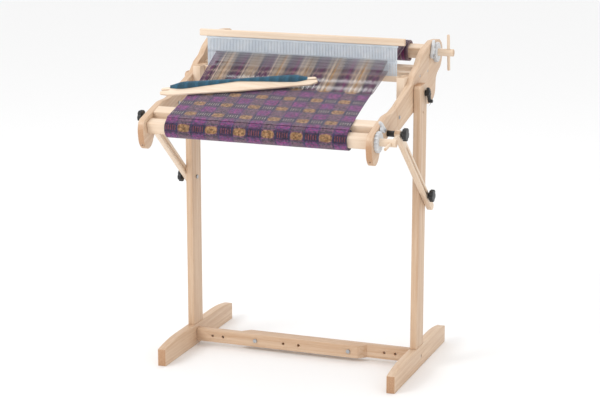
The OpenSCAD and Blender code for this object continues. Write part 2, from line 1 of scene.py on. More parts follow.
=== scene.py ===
"""A floor-standing rigid heddle loom: birch trestle stand, tilting loom frame, and a plaid cloth on it.

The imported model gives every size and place. This script gives each visible piece its finished
mesh and material, the cloth, the warp and the wound yarn, and the studio around them.
"""

import logging
import math
from collections.abc import Callable, Iterator
from contextlib import contextmanager
from dataclasses import dataclass, field
from enum import Enum
from functools import partial

import bpy
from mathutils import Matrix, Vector


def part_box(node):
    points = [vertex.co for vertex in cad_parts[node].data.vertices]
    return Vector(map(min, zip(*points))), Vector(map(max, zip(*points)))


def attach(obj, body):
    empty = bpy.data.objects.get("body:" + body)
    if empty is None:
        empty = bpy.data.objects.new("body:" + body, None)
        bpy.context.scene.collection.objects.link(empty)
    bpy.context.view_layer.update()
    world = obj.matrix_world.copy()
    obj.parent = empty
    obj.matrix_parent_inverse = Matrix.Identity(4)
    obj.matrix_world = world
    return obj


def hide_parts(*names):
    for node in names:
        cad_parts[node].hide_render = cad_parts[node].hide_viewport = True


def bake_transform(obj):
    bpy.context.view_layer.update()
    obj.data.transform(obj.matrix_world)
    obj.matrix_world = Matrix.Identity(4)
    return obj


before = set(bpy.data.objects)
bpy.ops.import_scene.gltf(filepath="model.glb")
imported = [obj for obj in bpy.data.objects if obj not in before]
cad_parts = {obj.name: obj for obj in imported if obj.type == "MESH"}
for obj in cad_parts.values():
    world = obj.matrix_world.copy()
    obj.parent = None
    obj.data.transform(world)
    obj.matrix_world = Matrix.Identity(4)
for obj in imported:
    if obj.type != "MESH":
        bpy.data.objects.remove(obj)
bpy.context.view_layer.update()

LOG = logging.getLogger("loom")
MM = 0.001
AddNode = Callable[..., bpy.types.Node]
Stops = tuple[tuple[float, str], ...]


# ---- Small tools ----


def linear(hex_colour: str) -> tuple[float, float, float, float]:
    """Turns an sRGB hex colour into the linear values that a shader takes.

    Args:
        hex_colour: Six hex digits, such as "d8bb98".

    Returns:
        Red, green, blue and an alpha of 1.
    """
    parts = [int(hex_colour[i:i + 2], 16) / 255 for i in (0, 2, 4)]
    return (*(c / 12.92 if c <= 0.04045 else ((c + 0.055) / 1.055) ** 2.4 for c in parts), 1.0)


def add_node(
    tree: bpy.types.NodeTree, kind: str, inputs: dict | None = None, **settings: object
) -> bpy.types.Node:
    """Adds a shader node with its settings and links.

    Args:
        tree: The node tree.
        kind: The node's type, without "ShaderNode".
        inputs: What goes into each input, by name or number: a value, a socket, or a node, which
            stands for the first of its outputs that is in use.
        settings: The node's own properties.

    Returns:
        The new node.
    """
    made = tree.nodes.new("ShaderNode" + kind)
    for name, value in settings.items():
        setattr(made, name, value)
    for key, value in (inputs or {}).items():
        if isinstance(value, bpy.types.Node):
            value = next(socket for socket in value.outputs if socket.enabled)
        if isinstance(value, bpy.types.NodeSocket):
            tree.links.new(value, made.inputs[key])
        else:
            made.inputs[key].default_value = value
    return made


def set_stops(ramp: bpy.types.Node, stops: Stops, stepped: bool = False) -> None:
    """Gives a colour ramp its stops.

    Args:
        ramp: The colour ramp node.
        stops: Place and hex colour of each stop, from low to high.
        stepped: True for hard edges between the colours.
    """
    elements = ramp.color_ramp.elements
    ramp.color_ramp.interpolation = "CONSTANT" if stepped else "LINEAR"
    while len(elements) < len(stops):
        elements.new(0.5)
    for element, (place, colour) in zip(elements, stops):
        element.position = place
        element.color = linear(colour)


def deselect() -> None:
    """Leaves edit mode and deselects every object."""
    if bpy.context.object and bpy.context.object.mode != "OBJECT":
        bpy.ops.object.mode_set(mode="OBJECT")
    bpy.ops.object.select_all(action="DESELECT")


def only(piece: bpy.types.Object) -> None:
    """Makes one object the selected and active one.

    Args:
        piece: The object.
    """
    deselect()
    piece.select_set(True)
    bpy.context.view_layer.objects.active = piece


@contextmanager
def editing(piece: bpy.types.Object) -> Iterator[None]:
    """Holds one object in edit mode, with the whole of its mesh selected.

    Args:
        piece: The object.

    Yields:
        Nothing: the mesh tools are called in between.
    """
    only(piece)
    bpy.ops.object.mode_set(mode="EDIT")
    bpy.ops.mesh.select_all(action="SELECT")
    yield
    bpy.ops.object.mode_set(mode="OBJECT")


def settle(piece: bpy.types.Object, name: str) -> bpy.types.Object:
    """Names a new piece and moves its place from its object into its mesh.

    Args:
        piece: The new piece.
        name: Its name.

    Returns:
        The same piece.
    """
    only(piece)
    bpy.ops.object.transform_apply(location=True, rotation=True, scale=True)
    piece.name = name
    piece.data.name = name
    return piece


def apply_modifier(piece: bpy.types.Object, kind: str, **settings: object) -> None:
    """Adds a modifier with its settings and applies it at once.

    Args:
        piece: The object.
        kind: The modifier's type.
        settings: The modifier's own properties.
    """
    only(piece)
    modifier = piece.modifiers.new(kind.title(), kind)
    for name, value in settings.items():
        setattr(modifier, name, value)
    bpy.ops.object.modifier_apply(modifier=modifier.name)


def joined(pieces: list[bpy.types.Object], name: str) -> bpy.types.Object:
    """Joins several new pieces into one mesh object.

    Args:
        pieces: The pieces, which are used up.
        name: The joined piece's name.

    Returns:
        The joined piece.
    """
    only(pieces[0])
    for piece in pieces[1:]:
        piece.select_set(True)
    bpy.ops.object.join()
    return settle(bpy.context.object, name)


def smooth(piece: bpy.types.Object, degrees: float = 35.0) -> None:
    """Shades a piece smooth, apart from edges sharper than an angle."""
    only(piece)
    bpy.ops.object.shade_smooth_by_angle(angle=math.radians(degrees))


def wear(piece: bpy.types.Object, finish: "Finish") -> None:
    """Gives a piece its finish, in place of any material that it has."""
    piece.data.materials.clear()
    piece.data.materials.append(finish.material())


def write_uv(piece: bpy.types.Object, places: list[tuple[float, float]]) -> None:
    """Writes the map of a piece of cloth.

    Args:
        piece: The cloth.
        places: Metres across and along the cloth, for each vertex.
    """
    layer = piece.data.uv_layers.active or piece.data.uv_layers.new(name="UVMap")
    for loop in piece.data.loops:
        layer.data[loop.index].uv = places[loop.vertex_index]


def ripple(*values: float) -> float:
    """A smooth made-up unevenness between -1 and 1, the same on every run.

    Args:
        values: Where it is taken, as any numbers.

    Returns:
        The unevenness.
    """
    total = 0.0
    for i, value in enumerate(values):
        total += math.sin(value * 1.7 + i * 2.1) * math.sin(value * 0.61 + i * 0.7 + 1.3)
    return total / len(values)


# ---- Finishes ----


class Finish:
    """A surface finish. Its material is built when it is first asked for, and then shared."""

    name: str

    @property
    def label(self) -> str:
        """The material's name."""
        return self.name

    def material(self) -> bpy.types.Material:
        """Builds the material, or finds it where it has been built.

        Returns:
            The material.
        """
        if self.label in bpy.data.materials:
            return bpy.data.materials[self.label]
        material = bpy.data.materials.new(self.label)
        material.use_nodes = True
        material.node_tree.nodes.clear()
        node = partial(add_node, material.node_tree)
        node("OutputMaterial", {"Surface": self.paint(node)})
        return material

    def paint(self, node: AddNode) -> bpy.types.Node:
        """Adds the finish's nodes, and gives back its shader."""
        raise NotImplementedError


class Grain(Enum):
    """Which way the grain of a board runs, as degrees about X from the Y axis, or across."""

    ACROSS = None
    ALONG = 0.0
    UPRIGHT = 90.0
    SLOPED = 16.0
    STRUT = -40.0


@dataclass(frozen=True)
class Streak:
    """Noise drawn out along the grain, with its share in the colour."""

    width_mm: float
    length_mm: float
    detail: float
    share: float


@dataclass(frozen=True)
class Wood(Finish):
    """Birch, planed and sanded and given a thin clear finish: pale, even, fine-pored, low sheen."""

    name: str
    light: str
    dark: str
    end: str
    grain: Grain
    rings: Streak = Streak(9.0, 420.0, 3.0, 0.55)
    fibres: Streak = Streak(1.1, 34.0, 2.0, 0.25)
    clouds: Streak = Streak(70.0, 600.0, 1.0, 0.3)
    pore_mm: float = 1.4
    roughness: float = 0.46

    @property
    def label(self) -> str:
        """The material's name, with the way that its grain runs."""
        return f"{self.name}_{self.grain.name.lower()}"

    def paint(self, node: AddNode) -> bpy.types.Node:
        """Draws the streaks along the grain, and the end grain on the faces that cut it.

        Args:
            node: Adds a node to the material.

        Returns:
            The shader.
        """
        place = node("TexCoord")
        across = self.grain is Grain.ACROSS
        angle = 0.0 if across else math.radians(self.grain.value)
        noises, mixed = {}, 0.0
        for streak in (self.rings, self.fibres, self.clouds):
            wide, long = streak.width_mm * MM, streak.length_mm * MM
            size = (long, wide, wide) if across else (wide, long, wide)
            drawn = node("Mapping", {"Vector": place.outputs["Object"], "Rotation": (angle, 0.0, 0.0),
                         "Scale": size}, vector_type="TEXTURE")
            noises[streak] = node("TexNoise", {"Vector": drawn, "Scale": 1.0, "Detail": streak.detail,
                                  "Distortion": 0.4})
            mixed = node("Math", {0: noises[streak], 1: streak.share, 2: mixed}, operation="MULTIPLY_ADD")
        face = node("ValToRGB", {"Fac": mixed})
        set_stops(face, ((0.38, self.light), (0.72, self.dark)))
        along = (1.0, 0.0, 0.0) if across else (0.0, math.cos(angle), math.sin(angle))
        facing = node("VectorMath", {0: place.outputs["Normal"], 1: along}, operation="DOT_PRODUCT")
        facing = node("Math", {0: facing}, operation="ABSOLUTE")
        cut = node("MapRange", {"Value": facing, "From Min": 0.75, "From Max": 0.95})
        pores = node("TexNoise", {"Vector": place.outputs["Object"], "Scale": 1 / (self.pore_mm * MM),
                     "Detail": 2.0})
        ends = node("ValToRGB", {"Fac": pores})
        set_stops(ends, ((0.35, self.end), (0.7, self.dark)))
        colour = node("Mix", {0: cut, 6: face, 7: ends}, data_type="RGBA")
        fibres = noises[self.fibres]
        rough = node("MapRange", {"Value": fibres, "To Min": self.roughness - 0.06,
                     "To Max": self.roughness + 0.1})
        bump = node("Bump", {"Height": fibres, "Strength": 0.16, "Distance": 0.25 * MM})
        return node("BsdfPrincipled", {"Base Color": colour, "Roughness": rough, "Normal": bump,
                    "IOR": 1.48})


@dataclass(frozen=True)
class Moulded(Finish):
    """Moulded plastic: an even colour with a fine tool-grained skin, duller where it is grained."""

    name: str
    colour: str
    shade: str
    roughness: float
    skin_mm: float = 0.6
    cloud_mm: float = 25.0

    def paint(self, node: AddNode) -> bpy.types.Node:
        """Draws the even colour and the grained skin.

        Args:
            node: Adds a node to the material.

        Returns:
            The shader.
        """
        place = node("TexCoord").outputs["Object"]
        skin = node("TexNoise", {"Vector": place, "Scale": 1 / (self.skin_mm * MM), "Detail": 2.0})
        cloud = node("TexNoise", {"Vector": place, "Scale": 1 / (self.cloud_mm * MM)})
        colour = node("ValToRGB", {"Fac": cloud})
        set_stops(colour, ((0.3, self.colour), (0.7, self.shade)))
        rough = node("MapRange", {"Value": skin, "To Min": self.roughness - 0.05,
                     "To Max": self.roughness + 0.08})
        bump = node("Bump", {"Height": skin, "Strength": 0.12, "Distance": 0.1 * MM})
        return node("BsdfPrincipled", {"Base Color": colour, "Roughness": rough, "Normal": bump,
                    "IOR": 1.5})


@dataclass(frozen=True)
class ZincSteel(Finish):
    """Zinc-plated steel, barrel-plated: grey and bright, with a faint cloudy spangle."""

    name: str = "zinc_plated_steel"
    bright: str = "c3c6ca"
    dull: str = "8f9296"
    spangle_mm: float = 3.0

    def paint(self, node: AddNode) -> bpy.types.Node:
        """Draws the spangle in the colour and in the roughness.

        Args:
            node: Adds a node to the material.

        Returns:
            The shader.
        """
        place = node("TexCoord").outputs["Object"]
        cloud = node("TexNoise", {"Vector": place, "Scale": 1 / (self.spangle_mm * MM), "Detail": 3.0})
        colour = node("ValToRGB", {"Fac": cloud})
        set_stops(colour, ((0.3, self.bright), (0.75, self.dull)))
        rough = node("MapRange", {"Value": cloud, "To Min": 0.28, "To Max": 0.46})
        return node("BsdfPrincipled", {"Base Color": colour, "Metallic": 1.0, "Roughness": rough})


@dataclass(frozen=True)
class Yarn(Finish):
    """Spun and plied yarn: matt, a little hairy, with the ply showing as slanting ridges."""

    name: str
    stripes: Stops
    repeat_mm: float = 92.0
    start_mm: float = 0.0
    thread_mm: float = 2.54
    fluff_mm: float = 1.8
    ply_mm: float = 2.4
    uneven: float = 1.0

    def paint(self, node: AddNode) -> bpy.types.Node:
        """Draws the dyed stripes by place across the loom, then the fluff, the dye and the ply.

        Args:
            node: Adds a node to the material.

        Returns:
            The shader.
        """
        place = node("TexCoord").outputs["Object"]
        across = node("SeparateXYZ", {0: place}).outputs[0]
        share = node("Math", {0: across, 1: self.start_mm * MM}, operation="SUBTRACT")
        share = node("Math", {0: share, 1: self.repeat_mm * MM}, operation="DIVIDE")
        share = node("Math", {0: share}, operation="FRACT")
        colour = node("ValToRGB", {"Fac": share})
        set_stops(colour, self.stripes, stepped=True)
        fluff = node("TexNoise", {"Vector": place, "Scale": 1 / (self.fluff_mm * MM), "Detail": 3.0})
        fluff = node("MapRange", {"Value": fluff, "From Min": 0.3, "From Max": 0.7, "To Min": 0.72,
                     "To Max": 1.18})
        # No two threads took the dye alike
        rank = node("Math", {0: across, 1: self.thread_mm * MM}, operation="DIVIDE")
        rank = node("Math", {0: rank}, operation="ROUND")
        dye = node("TexWhiteNoise", {"W": rank}, noise_dimensions="1D")
        dye = node("MapRange", {"Value": dye, "To Min": 0.6, "To Max": 1.25})
        for strength, tone in ((1.0, fluff), (self.uneven, dye)):
            colour = node("Mix", {0: strength, 6: colour, 7: tone}, data_type="RGBA",
                          blend_type="MULTIPLY")
        # The ply is drawn coarser than it is, or it would be too fine to show
        ply = node("TexWave", {"Vector": place, "Scale": 1 / (self.ply_mm * MM * 6.3), "Distortion": 0.5},
                   bands_direction="DIAGONAL")
        bump = node("Bump", {"Height": ply.outputs["Fac"], "Strength": 0.5, "Distance": 0.4 * MM})
        return node("BsdfPrincipled", {"Base Color": colour, "Roughness": 0.9, "Normal": bump,
                    "Sheen Weight": 0.25, "Sheen Roughness": 0.5})


@dataclass(frozen=True)
class Dye:
    """Two shades of one colour of the plaid, and the colour of the threads that cross it."""

    dark: str
    bright: str
    crossing: str
    crossing_share: float


@dataclass(frozen=True)
class PlaidCloth(Finish):
    """Plain-woven wool and cotton plaid: purple and magenta blocks, gold where two gold stripes cross.

    The map is in metres: across the cloth from its middle, and along it from the cloth beam.
    """

    name: str = "plaid_weave"
    purple: Dye = Dye("4e1f5c", "7a1a62", "76688a", 0.25)
    muted: Dye = Dye("402844", "68405a", "857a6c", 0.22)
    gold: Dye = Dye("835c38", "a07c56", "56382a", 0.4)
    night: Dye = Dye("1d1c30", "1d1c30", "40224a", 1.0)
    cream_float: str = "b5a89c"
    rust_float: str = "8c4438"
    line_across: str = "20304a"
    line_along: str = "2c4048"
    across_mm: float = 92.0
    along_mm: float = 70.0
    gold_across_mm: float = 45.0
    gold_along_mm: float = 35.0
    block_across_mm: float = 20.0
    block_along_mm: float = 12.5
    thread_mm: float = 2.54
    pick_mm: float = 2.6
    patch_mm: float = 9.0
    wobble_mm: float = 5.0
    wobble_length_mm: float = 16.0

    def paint(self, node: AddNode) -> bpy.types.Node:
        """Lays the stripes and blocks out on the map, then the threads over them.

        Args:
            node: Adds a node to the material.

        Returns:
            The shader.
        """
        place = node("TexCoord").outputs["UV"]
        axes = node("SeparateXYZ", {0: place})
        across = node("Math", {0: axes.outputs[0], 1: MM}, operation="DIVIDE")
        along = node("Math", {0: axes.outputs[1], 1: MM}, operation="DIVIDE")
        wobble = node("TexNoise", {"Vector": place, "Scale": 1 / (self.wobble_length_mm * MM)})
        wobble = node("Math", {0: wobble, 1: self.wobble_mm, 2: -self.wobble_mm / 2},
                      operation="MULTIPLY_ADD")
        # Distance in millimetres from the middle of the nearest gold stripe, each way
        off = []
        for axis, first, repeat, before in ((across, self.gold_across_mm, self.across_mm, 10),
                                            (along, self.gold_along_mm, self.along_mm, 40)):
            moved = node("Math", {0: axis, 1: wobble}, operation="ADD")
            moved = node("Math", {0: moved, 1: first - before * repeat}, operation="SUBTRACT")
            off.append(node("Math", {0: moved, 1: repeat / 2}, operation="PINGPONG"))
        off_across, off_along = off
        # A gold block is a rounded oblong
        oval = 0.0
        for distance, half in ((off_across, self.block_across_mm), (off_along, self.block_along_mm)):
            power = node("Math", {0: distance, 1: half}, operation="DIVIDE")
            power = node("Math", {0: power, 1: 3.0}, operation="POWER")
            oval = node("Math", {0: oval, 1: power}, operation="ADD")
        # Single threads, over and under in turn
        thread = node("Math", {0: across, 1: self.thread_mm}, operation="DIVIDE")
        pick = node("Math", {0: along, 1: self.pick_mm}, operation="DIVIDE")
        turn = 0.0
        for count in (thread, pick):
            whole = node("Math", {0: count, 1: 1000.0}, operation="ADD")
            whole = node("Math", {0: whole}, operation="FLOOR")
            turn = node("Math", {0: turn, 1: whole}, operation="ADD")
        turn = node("Math", {0: turn, 1: 2.0}, operation="MODULO")
        patch = node("TexNoise", {"Vector": place, "Scale": 1 / (self.patch_mm * MM), "Detail": 3.0})
        # Distances from the thin lines beside the gold stripes, and from the middle of a float
        beside = []
        for distance, line_mm in ((off_across, 24.0), (off_along, 19.0)):
            away = node("Math", {0: distance, 1: line_mm}, operation="SUBTRACT")
            beside.append(node("Math", {0: away}, operation="ABSOLUTE"))
        float_off = node("Math", {0: across, 1: self.thread_mm * 1.5}, operation="PINGPONG")
        # Masks: 1 up to the first distance, 0 from the second on
        mask = {
            name: node("MapRange", {"Value": value, "From Min": full, "From Max": none, "To Min": 1.0,
                       "To Max": 0.0})
            for name, (value, full, none) in {
                "column": (off_across, 18.0, 22.0), "row": (off_along, 13.0, 18.0),
                "block": (oval, 0.7, 1.2), "magenta": (patch, 0.44, 0.6),
                "float": (float_off, 0.8, 1.6), "float_row": (off_along, 7.0, 9.0),
                "float_gap": (off_across, 26.0, 23.0), "rust": (along, -8.0, 2.0),
                "line_across": (beside[0], 1.6, 2.6), "line_along": (beside[1], 1.2, 2.2),
            }.items()
        }
        gap = node("Math", {0: 1.0, 1: mask["column"]}, operation="SUBTRACT")
        shares = []
        for factors in ((mask["row"], gap), (mask["float"], mask["float_row"], mask["float_gap"], 0.65),
                        (mask["line_across"], 0.7), (mask["line_along"], 0.55)):
            share = factors[0]
            for factor in factors[1:]:
                share = node("Math", {0: share, 1: factor}, operation="MULTIPLY")
            shares.append(share)
        dyed = []
        for dye in (self.purple, self.muted, self.gold, self.night):
            shade = node("Mix", {0: mask["magenta"], 6: linear(dye.dark), 7: linear(dye.bright)},
                         data_type="RGBA")
            crossing = node("Math", {0: turn, 1: dye.crossing_share}, operation="MULTIPLY")
            dyed.append(node("Mix", {0: crossing, 6: shade, 7: linear(dye.crossing)}, data_type="RGBA"))
        base, muted, gold, night = dyed
        # Floats are short, cream, and rust on the first row on the beam
        floats = node("Mix", {0: mask["rust"], 6: linear(self.cream_float), 7: linear(self.rust_float)},
                      data_type="RGBA")
        for share, colour in ((mask["column"], muted), (shares[0], night), (shares[1], floats),
                              (shares[2], linear(self.line_across)), (shares[3], linear(self.line_along)),
                              (mask["block"], gold)):
            base = node("Mix", {0: share, 6: base, 7: colour}, data_type="RGBA")
        # The round of each thread, as painted shade that darkens the dips between threads and as height for
        # the bump, and slubs a few threads wide
        crowns, slub_at = [], []
        for count in (thread, pick):
            crown = node("Math", {0: count, 1: math.pi}, operation="MULTIPLY")
            crown = node("Math", {0: crown}, operation="SINE")
            crowns.append(node("Math", {0: crown}, operation="ABSOLUTE"))
            pair = node("Math", {0: count, 1: 2.0}, operation="DIVIDE")
            slub_at.append(node("Math", {0: pair}, operation="FLOOR"))
        height = node("Mix", {0: turn, 2: crowns[0], 3: crowns[1]})
        # Painted shade: the colour is darkened where each thread's round falls away
        tone = node("MapRange", {"Value": height, "To Min": 0.55, "To Max": 1.15})
        slub = node("CombineXYZ", dict(enumerate(slub_at)))
        slub = node("TexWhiteNoise", {"Vector": slub}, noise_dimensions="2D")
        slub = node("MapRange", {"Value": slub, "To Min": 0.6, "To Max": 1.5})
        for factor in (tone, slub):
            base = node("Mix", {0: 1.0, 6: base, 7: factor}, data_type="RGBA", blend_type="MULTIPLY")
        bump = node("Bump", {"Height": height, "Strength": 0.7, "Distance": 0.8 * MM})
        return node("BsdfPrincipled", {"Base Color": base, "Roughness": 0.92, "Normal": bump,
                    "Sheen Weight": 0.3, "Sheen Roughness": 0.45})


@dataclass(frozen=True)
class PaperSweep(Finish):
    """White background paper, matt, with a faint tooth that changes how dull it is."""

    name: str = "white_paper_sweep"
    colour: str = "f6f6f6"
    tooth_mm: float = 30.0

    def paint(self, node: AddNode) -> bpy.types.Node:
        """Draws the paper's tooth in its roughness.

        Args:
            node: Adds a node to the material.

        Returns:
            The shader.
        """
        place = node("TexCoord").outputs["Object"]
        tooth = node("TexNoise", {"Vector": place, "Scale": 1 / (self.tooth_mm * MM)})
        rough = node("MapRange", {"Value": tooth, "To Min": 0.85, "To Max": 0.95})
        return node("BsdfPrincipled", {"Base Color": linear(self.colour), "Roughness": rough})


BIRCH = {grain: Wood("birch", "d9c0a6", "be9a7a", "a97d5a", grain) for grain in Grain}
PALE_BIRCH = {
    grain: Wood("pale_birch", "e8d6c2", "d5ba9e", "c09c7a", grain, rings=Streak(7.0, 420.0, 3.0, 0.55))
    for grain in Grain
}
BLACK_PLASTIC = Moulded("black_nylon", "161617", "202022", 0.38)
GREY_PLASTIC = Moulded("grey_acetal", "d4d6d8", "c2c4c7", 0.42)
COMB_PLASTIC = Moulded("white_styrene", "ccd3da", "bdc7d1", 0.26)
STEEL = ZincSteel()
PLAID = PlaidCloth()
WARP = Yarn("warp_yarn_wool", (
    (0.0, "5a2858"), (0.06, "802c64"), (0.11, "4a2e4a"), (0.17, "78626c"), (0.24, "b8a494"), (0.3, "968480"),
    (0.36, "c4ae96"), (0.44, "a68c7a"), (0.5, "b08040"), (0.55, "bca590"), (0.62, "a08e86"), (0.68, "b09c8a"),
    (0.74, "6a5862"), (0.79, "383a4c"), (0.84, "64325c"), (0.9, "4e2a4c"), (0.95, "765e66"),
), start_mm=-3.0)
TEAL = Yarn("weft_yarn_teal", ((0.0, "2a566b"), (0.3, "2e6079"), (0.6, "274f62")), repeat_mm=31.0,
            uneven=0.0)


# ---- Geometry of the warp ----


@dataclass
class WebLine:
    """The straight line of the warp in the side view, from the cloth roll to the warp roll."""

    lift: float = 0.6 * MM

    def __post_init__(self) -> None:
        """Works the line out from the two rolls, the cloth and the reed."""
        front_low, front_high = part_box("cloth_roll")
        back_low, back_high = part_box("warp_roll")
        self.front = (front_low + front_high) / 2
        self.back = (back_low + back_high) / 2
        self.front_r = (front_high.z - front_low.z) / 2
        self.back_r = (back_high.z - back_low.z) / 2
        self.half_w = (front_high.x - front_low.x) / 2
        step = self.back - self.front
        span = math.hypot(step.y, step.z)
        self.angle = math.atan2(step.z, step.y) + math.asin((self.back_r - self.front_r) / span)
        self.along = Vector((0, math.cos(self.angle), math.sin(self.angle)))
        self.out = Vector((0, -math.sin(self.angle), math.cos(self.angle)))
        self.start = Vector((0, self.front.y, self.front.z)) + self.out * (self.front_r + self.lift)
        self.length = math.sqrt(span * span - (self.back_r - self.front_r) ** 2)
        cloth_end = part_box("cloth_web")[1].y
        self.woven = (cloth_end - self.start.y) / self.along.y
        comb_low, comb_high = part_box("reed_comb")
        self.reed_y = (comb_low.y + comb_high.y) / 2
        self.eye_z = (comb_low.z + comb_high.z) / 2

    def at(self, x: float, along: float, out: float = 0.0) -> Vector:
        """The point at x, along the warp from the cloth roll, and out from it."""
        return self.start + self.along * along + self.out * out + Vector((x, 0, 0))


# ---- Pieces carried over from the model, with their edges eased ----


def eased(node: str, body: str, width_mm: float, segments: int = 2) -> bpy.types.Object:
    """Makes a copy of a model piece with its sharp edges rounded, which stands for it.

    Args:
        node: The model piece's name.
        body: The body that it moves with.
        width_mm: Width of the rounding.
        segments: Steps in the rounding.

    Returns:
        The finished piece, riding on its body.
    """
    piece = bpy.data.objects.new(f"{node}_finished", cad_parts[node].data.copy())
    bpy.context.scene.collection.objects.link(piece)
    with editing(piece):
        bpy.ops.mesh.remove_doubles(threshold=0.001 * MM)
        bpy.ops.mesh.dissolve_limited(angle_limit=math.radians(0.5))
    apply_modifier(piece, "BEVEL", width=width_mm * MM, segments=segments, limit_method="ANGLE",
                   angle_limit=math.radians(40), use_clamp_overlap=False)
    smooth(piece)
    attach(piece, body)
    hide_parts(node)
    return piece


@dataclass
class Woodwork:
    """The boards, posts, bars and beams, each with its edges eased by sandpaper."""

    ease_mm: float = 1.3
    parts: dict[str, tuple[str, Grain, bool]] = field(default_factory=lambda: {
        "foot_left": ("stand", Grain.ALONG, False), "foot_right": ("stand", Grain.ALONG, False),
        "post_left": ("stand", Grain.UPRIGHT, False), "post_right": ("stand", Grain.UPRIGHT, False),
        "brace_front": ("stand", Grain.ACROSS, False), "brace_rear": ("stand", Grain.ACROSS, False),
        "strut_left": ("strut_left", Grain.STRUT, True), "strut_right": ("strut_right", Grain.STRUT, True),
        "front_side_left": ("loom", Grain.SLOPED, False), "front_side_right": ("loom", Grain.SLOPED, False),
        "rear_side_left": ("loom", Grain.SLOPED, False), "rear_side_right": ("loom", Grain.SLOPED, False),
        "front_board": ("loom", Grain.ACROSS, True), "middle_board": ("loom", Grain.ACROSS, True),
        "rear_board": ("loom", Grain.ACROSS, True), "reed_guide_left": ("loom", Grain.UPRIGHT, True),
        "reed_guide_right": ("loom", Grain.UPRIGHT, True), "reed_top_bar": ("reed", Grain.ACROSS, True),
        "reed_bottom_bar": ("reed", Grain.ACROSS, True), "cloth_beam": ("cloth_beam", Grain.ACROSS, True),
        "warp_beam": ("warp_beam", Grain.ACROSS, True), "shuttle": ("shuttle", Grain.ACROSS, True),
        "cloth_handle": ("cloth_beam", Grain.ALONG, True), "warp_handle": ("warp_beam", Grain.UPRIGHT, True),
    })

    def build(self) -> list[bpy.types.Object]:
        """Makes every wooden piece.

        Returns:
            The finished pieces.
        """
        made = []
        for node, (body, grain, pale) in self.parts.items():
            piece = eased(node, body, self.ease_mm)
            wear(piece, (PALE_BIRCH if pale else BIRCH)[grain])
            made.append(piece)
        return made


@dataclass
class Hardware:
    """The knobs, ratchets, pawls, bolts and screws."""

    knobs: tuple[str, ...] = ("strut_top_knob_left", "strut_top_knob_right", "strut_low_knob_left",
                              "strut_low_knob_right", "tilt_knob_left", "tilt_knob_right")
    plain_steel: tuple[str, ...] = ("brace_bolts", "brace_nuts", "brace_end_screws", "foot_screws",
                                    "strut_pivot_bolts", "strut_lower_bolts", "tilt_bolts", "fold_pins",
                                    "board_screws", "pawl_screws")

    def build(self) -> list[bpy.types.Object]:
        """Makes the moulded pieces and gives the steel ones their finish.

        Returns:
            The finished pieces.
        """
        made = []
        for node in self.knobs:
            made.append(self.moulded(node, node, 1.6, BLACK_PLASTIC, 3))
        made.append(self.moulded("strut_spacers", "loom", 0.8, BLACK_PLASTIC))
        for node, body in (("cloth_ratchet", "cloth_beam"), ("warp_ratchet", "warp_beam"),
                           ("cloth_pawl", "cloth_pawl"), ("warp_pawl", "warp_pawl")):
            made.append(self.moulded(node, body, 0.5, GREY_PLASTIC))
        for node in self.plain_steel:
            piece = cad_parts[node]
            wear(piece, STEEL)
            made.append(piece)
        return made

    def moulded(
        self, node: str, body: str, width_mm: float, finish: Moulded, segments: int = 2
    ) -> bpy.types.Object:
        """Makes one moulded piece with soft edges.

        Args:
            node: The model piece's name.
            body: The body that it moves with.
            width_mm: Width of the rounding of its edges.
            finish: Its plastic.
            segments: Steps in the rounding.

        Returns:
            The finished piece.
        """
        piece = eased(node, body, width_mm, segments)
        wear(piece, finish)
        return piece


@dataclass
class Reed:
    """The comb of the reed: flat blades with an eye in each, on a strip at the top."""

    pitch: float = 5.08 * MM
    blade_w: float = 3.5 * MM
    eye_w: float = 1.3 * MM
    eye_h: float = 9.0 * MM
    strip_h: float = 7.0 * MM
    strip_t: float = 4.0 * MM
    corners: int = 8

    def build(self) -> bpy.types.Object:
        """Makes the comb.

        Returns:
            The finished comb, riding on the reed.
        """
        low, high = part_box("reed_comb")
        middle = (low + high) / 2
        count = int((high.x - low.x) / self.pitch)
        depth = high.y - low.y
        first = -(count - 1) / 2 * self.pitch
        deselect()
        bpy.ops.mesh.primitive_circle_add(vertices=self.corners, radius=1.0, location=(0, 0, 0))
        blade = bpy.context.object
        with editing(blade):
            bpy.ops.transform.rotate(value=math.pi / self.corners, orient_axis="Z",
                                     center_override=(0, 0, 0))
            bpy.ops.mesh.extrude_edges_move(TRANSFORM_OT_translate={"value": (0, 0, 0)})
        # The first ring of corners is the eye, and the second is the blade's oblong outline
        half_w, half_h = self.blade_w / 2, (high.z - low.z) / 2
        for i, vertex in enumerate(blade.data.vertices):
            turn = math.atan2(vertex.co.y, vertex.co.x)
            across, upward = math.cos(turn), math.sin(turn)
            if i < self.corners:
                vertex.co = (across * self.eye_w / 2, 0, upward * self.eye_h / 2)
            else:
                reach = half_h if abs(upward) > abs(across) else self.eye_h
                vertex.co = (math.copysign(half_w, across), 0, math.copysign(reach, upward))
        with editing(blade):
            bpy.ops.mesh.extrude_region_move(TRANSFORM_OT_translate={"value": (0, depth, 0)})
            bpy.ops.mesh.select_all(action="SELECT")
            bpy.ops.mesh.normals_make_consistent(inside=False)
        blade.location = (first, middle.y - depth / 2, middle.z)
        settle(blade, "reed_blades")
        apply_modifier(blade, "ARRAY", count=count, use_relative_offset=False, use_constant_offset=True,
                       constant_offset_displace=(self.pitch, 0, 0))
        deselect()
        bpy.ops.mesh.primitive_cube_add(size=1, location=(0, middle.y, high.z - self.strip_h / 2),
                                        scale=(high.x - low.x, self.strip_t, self.strip_h))
        strip = settle(bpy.context.object, "reed_strip")
        apply_modifier(strip, "BEVEL", width=0.6 * MM, segments=2)
        comb = joined([blade, strip], "reed_comb_blades")
        smooth(comb, 30)
        wear(comb, COMB_PLASTIC)
        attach(comb, "reed")
        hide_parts("reed_comb")
        return comb


# ---- Weaving ----


